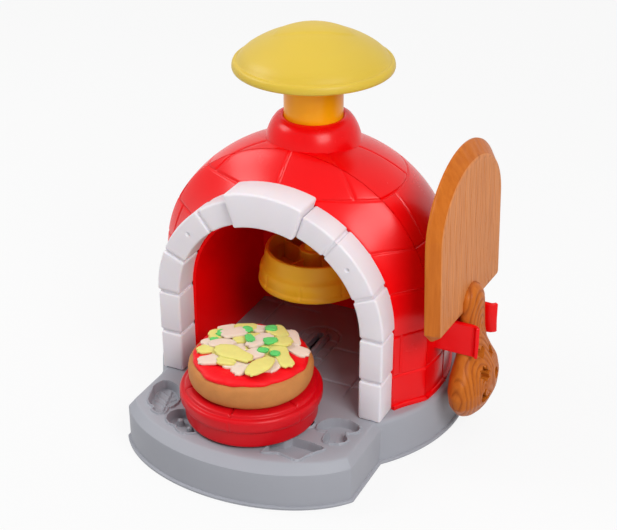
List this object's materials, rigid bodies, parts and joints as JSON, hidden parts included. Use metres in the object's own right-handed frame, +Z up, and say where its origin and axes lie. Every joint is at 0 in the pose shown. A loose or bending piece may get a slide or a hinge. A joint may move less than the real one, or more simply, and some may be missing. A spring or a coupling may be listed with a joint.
{
  "type": "toy oven",
  "caption": "Domed toy pizza oven with a push-down press, a sliding round tray, topping moulds in its base and a pizza peel clipped to its side",
  "frame": {"origin": "on the vertical axis of the press, at the level of the table that the base stands on", "axes": "+X to the right as seen from the front, where the peel hangs; +Y from the front to the back; +Z up"},
  "size_m": [0.2325, 0.2481, 0.253],
  "materials": {
    "base_shell": "satin moulded plastic",
    "base_screws": "zinc plated",
    "front_shell": "glossy moulded plastic",
    "rear_shell": "glossy moulded plastic",
    "oven_liner": "glossy moulded plastic",
    "arch_trim": "satin moulded plastic",
    "peel_clip": "glossy moulded plastic",
    "press_collar": "glossy moulded plastic",
    "collar_ring": "glossy moulded plastic",
    "press_spring": "bright spring wire",
    "press_knob": "satin moulded plastic",
    "knob_screws": "zinc plated",
    "press_stem": "glossy moulded plastic",
    "stop_clip": "spring steel",
    "press_head": "glossy moulded plastic",
    "head_screw": "zinc plated",
    "tray_dish": "glossy moulded plastic",
    "tray_foot": "glossy moulded plastic",
    "tray_slider": "moulded plastic",
    "slider_screw": "zinc plated",
    "pizza_crust": "soft modelling dough",
    "pizza_sauce": "soft modelling dough",
    "topping_yellow": "soft modelling dough",
    "topping_cream": "soft modelling dough",
    "topping_green": "soft modelling dough",
    "pizza_peel": "satin moulded plastic in a wood colour"
  },
  "bodies": {
    "oven": {"base_shell": "base_shell", "base_screws": "base_screws", "front_shell": "front_shell", "rear_shell": "rear_shell", "oven_liner": "oven_liner", "arch_trim": "arch_trim", "peel_clip": "peel_clip", "press_collar": "press_collar", "collar_ring": "collar_ring", "press_spring": "press_spring"},
    "press": {"press_knob": "press_knob", "knob_screws": "knob_screws", "press_stem": "press_stem", "stop_clip": "stop_clip", "press_head": "press_head", "head_screw": "head_screw"},
    "tray": {"tray_dish": "tray_dish", "tray_foot": "tray_foot", "tray_slider": "tray_slider", "slider_screw": "slider_screw"},
    "pizza": {"pizza_crust": "pizza_crust", "pizza_sauce": "pizza_sauce", "topping_yellow": "topping_yellow", "topping_cream": "topping_cream", "topping_green": "topping_green"},
    "peel": {"pizza_peel": "pizza_peel"}
  },
  "joints": [
    {"name": "press_slide", "type": "slide", "parent": "oven", "child": "press", "axis": [0, 0, -1], "range_m": [0, 0.026], "stiffness_N_per_m": 300, "springref_m": -0.012, "deforming": ["press_spring", "pizza_crust", "pizza_sauce", "topping_yellow", "topping_cream", "topping_green"]},
    {"name": "tray_slide", "type": "slide", "parent": "oven", "child": "tray", "axis": [0, 1, 0], "range_m": [0, 0.089]},
    {"name": "pizza_push_off", "type": "slide", "parent": "tray", "child": "pizza", "axis": [0, -1, 0], "range_m": [0, 0.09]},
    {"name": "peel_pull", "type": "slide", "parent": "oven", "child": "peel", "axis": [1, 0, 0], "range_m": [0, 0.06]}
  ]
}
